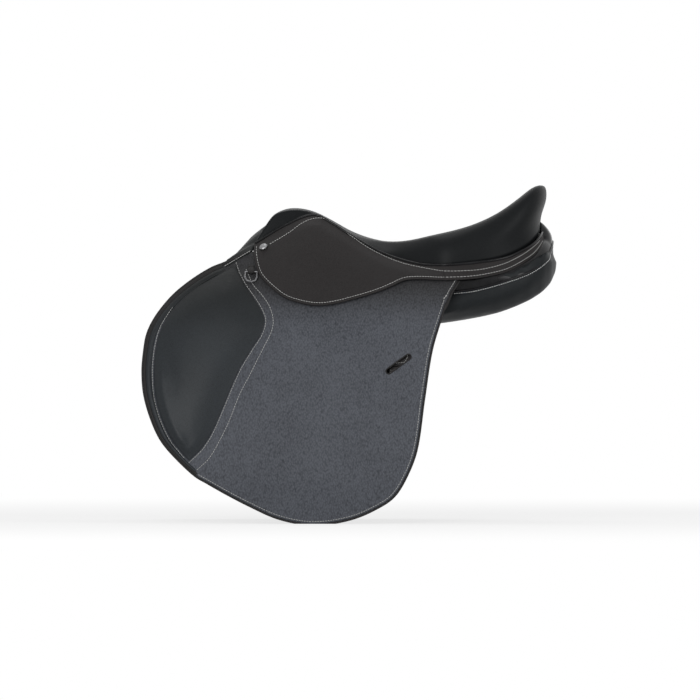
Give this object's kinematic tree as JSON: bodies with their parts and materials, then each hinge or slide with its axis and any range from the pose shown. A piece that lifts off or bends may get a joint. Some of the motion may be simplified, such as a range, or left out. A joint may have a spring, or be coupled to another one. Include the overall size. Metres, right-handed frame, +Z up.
{
  "type": "all-purpose saddle",
  "caption": "Black all-purpose riding saddle with a deep seat, knee pads, lifting flaps and skirts, stirrup bars with hinged catches, girth straps and stuffed panels.",
  "frame": {"origin": "on the centre line, at the level of the lowest padding under the seat, where the saddle bears on the horse's back", "axes": "+X from pommel to cantle, +Y to the off (right) side, +Z up"},
  "size_m": [0.6127, 0.4594, 0.5001],
  "materials": {
    "seat_leather": "near-black smooth leather, satin",
    "skirt_leather": "very dark grey-brown leather, fine grain, matt",
    "grained_leather": "slate grey-black pebble grain, matt",
    "smooth_leather": "black smooth calf finish, soft sheen",
    "plain_leather": "black bridle leather, matt",
    "strap_leather": "black strap leather, waxed",
    "piping": "glossy black patent",
    "foam": "cream foam",
    "wood": "laminated beech",
    "webbing": "woven webbing",
    "steel": "ground steel",
    "plated_steel": "polished nickel plate"
  },
  "bodies": {
    "saddle": {"seat_cover": "seat_leather", "seat_foam": "foam", "seat_piping": "piping", "rear_facing": "piping", "tree": "wood", "gullet_plate": "steel", "girth_web_front": "webbing", "girth_web_rear": "webbing", "seat_web_left": "webbing", "seat_web_right": "webbing", "head_cover": "smooth_leather", "channel_lining": "plain_leather", "gullet_rivet_left_1": "steel", "bar_rivet_left_1": "steel", "gullet_rivet_left_2": "steel", "bar_rivet_left_2": "steel", "stirrup_bar_left": "steel", "stud_left": "plated_steel", "skirt_band_left": "skirt_leather", "flap_head_left": "grained_leather", "panel_left": "smooth_leather", "knee_roll_left": "smooth_leather", "sweat_flap_left": "plain_leather", "buckle_guard_left": "plain_leather", "dee_chape_left": "plain_leather", "gullet_rivet_right_1": "steel", "bar_rivet_right_1": "steel", "gullet_rivet_right_2": "steel", "bar_rivet_right_2": "steel", "stirrup_bar_right": "steel", "stud_right": "plated_steel", "skirt_band_right": "skirt_leather", "flap_head_right": "grained_leather", "panel_right": "smooth_leather", "knee_roll_right": "smooth_leather", "sweat_flap_right": "plain_leather", "buckle_guard_right": "plain_leather", "dee_chape_right": "plain_leather"},
    "left_flap": {"flap_left": "grained_leather", "knee_pad_left": "smooth_leather"},
    "left_skirt": {"skirt_lobe_left": "skirt_leather"},
    "left_catch": {"bar_catch_left": "steel"},
    "left_dee": {"dee_left": "plated_steel"},
    "left_front_strap": {"girth_strap_front_left": "strap_leather"},
    "left_middle_strap": {"girth_strap_middle_left": "strap_leather"},
    "left_rear_strap": {"girth_strap_rear_left": "strap_leather"},
    "right_flap": {"flap_right": "grained_leather", "knee_pad_right": "smooth_leather"},
    "right_skirt": {"skirt_lobe_right": "skirt_leather"},
    "right_catch": {"bar_catch_right": "steel"},
    "right_dee": {"dee_right": "plated_steel"},
    "right_front_strap": {"girth_strap_front_right": "strap_leather"},
    "right_middle_strap": {"girth_strap_middle_right": "strap_leather"},
    "right_rear_strap": {"girth_strap_rear_right": "strap_leather"}
  },
  "joints": [
    {"name": "flap_lift_left", "type": "hinge", "parent": "saddle", "child": "left_flap", "pos_m": [-0.209, -0.11498, 0.08019], "axis": [-0.9087, 0.2648, 0.3226], "range_deg": [0, 80]},
    {"name": "skirt_lift_left", "type": "hinge", "parent": "saddle", "child": "left_skirt", "pos_m": [-0.138, -0.10196, 0.12412], "axis": [-0.9219, 0.2956, 0.2506], "range_deg": [0, 65]},
    {"name": "catch_lift_left", "type": "hinge", "parent": "saddle", "child": "left_catch", "pos_m": [-0.043, -0.10297, 0.09999], "axis": [0, -0.8705, 0.4921], "range_deg": [0, 60]},
    {"name": "dee_swing_left", "type": "hinge", "parent": "saddle", "child": "left_dee", "pos_m": [-0.147, -0.12271, 0.08], "axis": [-1, 0, 0], "range_deg": [0, 70]},
    {"name": "strap_swing_front_left", "type": "hinge", "parent": "saddle", "child": "left_front_strap", "pos_m": [-0.014, -0.13661, 0.042], "axis": [0, 1, 0], "range_deg": [-3.5, 3.5]},
    {"name": "strap_swing_middle_left", "type": "hinge", "parent": "saddle", "child": "left_middle_strap", "pos_m": [0.028, -0.13745, 0.042], "axis": [0, 1, 0], "range_deg": [-3.5, 3.5]},
    {"name": "strap_swing_rear_left", "type": "hinge", "parent": "saddle", "child": "left_rear_strap", "pos_m": [0.07, -0.14538, 0.042], "axis": [0, 1, 0], "range_deg": [-3.5, 3.5]},
    {"name": "flap_lift_right", "type": "hinge", "parent": "saddle", "child": "right_flap", "pos_m": [-0.209, 0.11498, 0.08019], "axis": [0.9087, 0.2648, -0.3226], "range_deg": [0, 80]},
    {"name": "skirt_lift_right", "type": "hinge", "parent": "saddle", "child": "right_skirt", "pos_m": [-0.138, 0.10196, 0.12412], "axis": [0.9219, 0.2956, -0.2506], "range_deg": [0, 65]},
    {"name": "catch_lift_right", "type": "hinge", "parent": "saddle", "child": "right_catch", "pos_m": [-0.043, 0.10297, 0.09999], "axis": [0, -0.8705, -0.4921], "range_deg": [0, 60]},
    {"name": "dee_swing_right", "type": "hinge", "parent": "saddle", "child": "right_dee", "pos_m": [-0.147, 0.12271, 0.08], "axis": [1, 0, 0], "range_deg": [0, 70]},
    {"name": "strap_swing_front_right", "type": "hinge", "parent": "saddle", "child": "right_front_strap", "pos_m": [-0.014, 0.13661, 0.042], "axis": [0, 1, 0], "range_deg": [-3.5, 3.5]},
    {"name": "strap_swing_middle_right", "type": "hinge", "parent": "saddle", "child": "right_middle_strap", "pos_m": [0.028, 0.13745, 0.042], "axis": [0, 1, 0], "range_deg": [-3.5, 3.5]},
    {"name": "strap_swing_rear_right", "type": "hinge", "parent": "saddle", "child": "right_rear_strap", "pos_m": [0.07, 0.14538, 0.042], "axis": [0, 1, 0], "range_deg": [-3.5, 3.5]}
  ]
}
